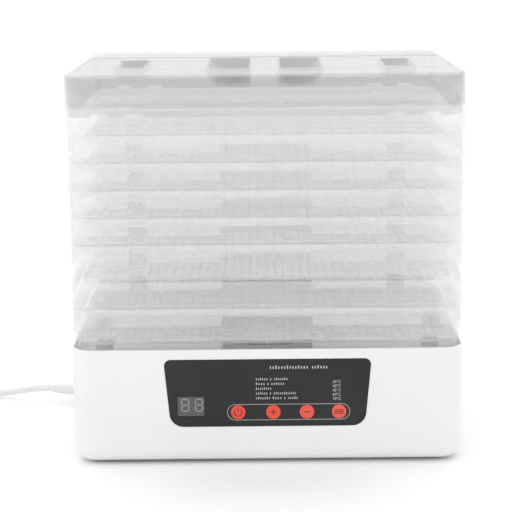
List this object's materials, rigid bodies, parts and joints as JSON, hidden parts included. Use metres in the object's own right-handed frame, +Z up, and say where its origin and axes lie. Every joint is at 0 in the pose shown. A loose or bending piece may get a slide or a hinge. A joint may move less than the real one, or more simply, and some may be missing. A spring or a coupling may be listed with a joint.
{
  "type": "food dehydrator",
  "caption": "Countertop food dehydrator: white fan-heater base with a black key panel, a stack of clear lift-off trays with mesh floors, and a clear lid with finger wells.",
  "frame": {"origin": "centre of the footprint, at the underside of the rubber feet", "axes": "+Z up through the tray stack; the control panel faces -Y; +X is to the right of a user who faces the panel"},
  "size_m": [0.5364, 0.28, 0.3394],
  "materials": {
    "clear_plastic": "clear moulded plastic, smooth",
    "white_plastic": "white moulded plastic, satin gloss",
    "black_panel": "black printed panel, semi gloss",
    "display_smoke": "grey smoked display window",
    "button_red": "red key cap with a pale symbol",
    "foot_rubber": "matt light grey rubber",
    "board_green": "solder resist",
    "component_black": "moulded component",
    "component_white": "moulded connector",
    "component_yellow": "film capacitor case",
    "steel": "plated steel",
    "lamination": "stacked laminations",
    "copper_coil": "enamelled winding",
    "bronze": "sintered bearing",
    "fan_plastic": "heat-proof moulded fan",
    "mica": "mica sheet",
    "heater_wire": "resistance wire coils",
    "cord_white": "white PVC",
    "pin_metal": "nickel-plated pins",
    "fuse_glass": "glass tube"
  },
  "bodies": {
    "base": {"base_housing": "white_plastic", "board_fuse": "fuse_glass", "board_screws": "steel", "bottom_cover": "white_plastic", "bracket_screws": "steel", "buzzer": "component_black", "case_screws": "steel", "control_board": "board_green", "control_chip": "component_black", "control_panel": "black_panel", "cord_coil": "cord_white", "cord_tie": "component_black", "display_module": "component_black", "display_window": "display_smoke", "duct_screws": "steel", "fan_duct": "steel", "filter_capacitor": "component_yellow", "harness_sockets": "component_white", "heater_coils": "heater_wire", "heater_frame": "mica", "inner_lead": "cord_white", "motor_bearings": "bronze", "motor_bolts": "steel", "motor_bracket_lower": "steel", "motor_bracket_upper": "steel", "motor_coil": "copper_coil", "motor_stator": "lamination", "outlet_grille": "white_plastic", "panel_harness": "component_white", "plug_body": "cord_white", "plug_boot": "cord_white", "plug_pins": "pin_metal", "power_board": "board_green", "power_cord": "cord_white", "power_relay": "component_black", "rubber_feet": "foot_rubber", "small_transformer": "component_yellow", "smoothing_capacitor": "component_black", "strain_relief": "cord_white", "tact_switches": "component_black", "terminal_block": "component_white", "thermal_fuse": "component_white", "thermostat": "component_black"},
    "fan": {"motor_rotor": "lamination", "motor_shaft": "steel", "fan_impeller": "fan_plastic", "fan_nut": "steel"},
    "lid": {"lid": "clear_plastic"},
    "tray_1": {"tray_1": "clear_plastic"},
    "tray_2": {"tray_2": "clear_plastic"},
    "tray_3": {"tray_3": "clear_plastic"},
    "tray_4": {"tray_4": "clear_plastic"},
    "tray_5": {"tray_5": "clear_plastic"},
    "tray_6": {"tray_6": "clear_plastic"},
    "tray_7": {"tray_7": "clear_plastic"},
    "tray_8": {"tray_8": "clear_plastic"},
    "button_power": {"button_power": "button_red"},
    "button_plus": {"button_plus": "button_red"},
    "button_minus": {"button_minus": "button_red"},
    "button_mode": {"button_mode": "button_red"}
  },
  "joints": [
    {"name": "fan_spin", "type": "hinge", "parent": "base", "child": "fan", "pos_m": [0, 0, 0.064], "axis": [0, 0, 1], "continuous": true},
    {"name": "tray_8_lift", "type": "slide", "parent": "base", "child": "tray_8", "axis": [0, 0, 1], "range_m": [0, 0.045]},
    {"name": "tray_7_lift", "type": "slide", "parent": "tray_8", "child": "tray_7", "axis": [0, 0, 1], "range_m": [0, 0.045]},
    {"name": "tray_6_lift", "type": "slide", "parent": "tray_7", "child": "tray_6", "axis": [0, 0, 1], "range_m": [0, 0.045]},
    {"name": "tray_5_lift", "type": "slide", "parent": "tray_6", "child": "tray_5", "axis": [0, 0, 1], "range_m": [0, 0.045]},
    {"name": "tray_4_lift", "type": "slide", "parent": "tray_5", "child": "tray_4", "axis": [0, 0, 1], "range_m": [0, 0.045]},
    {"name": "tray_3_lift", "type": "slide", "parent": "tray_4", "child": "tray_3", "axis": [0, 0, 1], "range_m": [0, 0.045]},
    {"name": "tray_2_lift", "type": "slide", "parent": "tray_3", "child": "tray_2", "axis": [0, 0, 1], "range_m": [0, 0.045]},
    {"name": "tray_1_lift", "type": "slide", "parent": "tray_2", "child": "tray_1", "axis": [0, 0, 1], "range_m": [0, 0.045]},
    {"name": "lid_lift", "type": "slide", "parent": "tray_1", "child": "lid", "axis": [0, 0, 1], "range_m": [0, 0.08]},
    {"name": "button_power_press", "type": "slide", "parent": "base", "child": "button_power", "axis": [0, 1, 0], "range_m": [0, 0.0006], "stiffness_N_per_m": 800, "springref_m": -0.001},
    {"name": "button_plus_press", "type": "slide", "parent": "base", "child": "button_plus", "axis": [0, 1, 0], "range_m": [0, 0.0006], "stiffness_N_per_m": 800, "springref_m": -0.001},
    {"name": "button_minus_press", "type": "slide", "parent": "base", "child": "button_minus", "axis": [0, 1, 0], "range_m": [0, 0.0006], "stiffness_N_per_m": 800, "springref_m": -0.001},
    {"name": "button_mode_press", "type": "slide", "parent": "base", "child": "button_mode", "axis": [0, 1, 0], "range_m": [0, 0.0006], "stiffness_N_per_m": 800, "springref_m": -0.001}
  ]
}
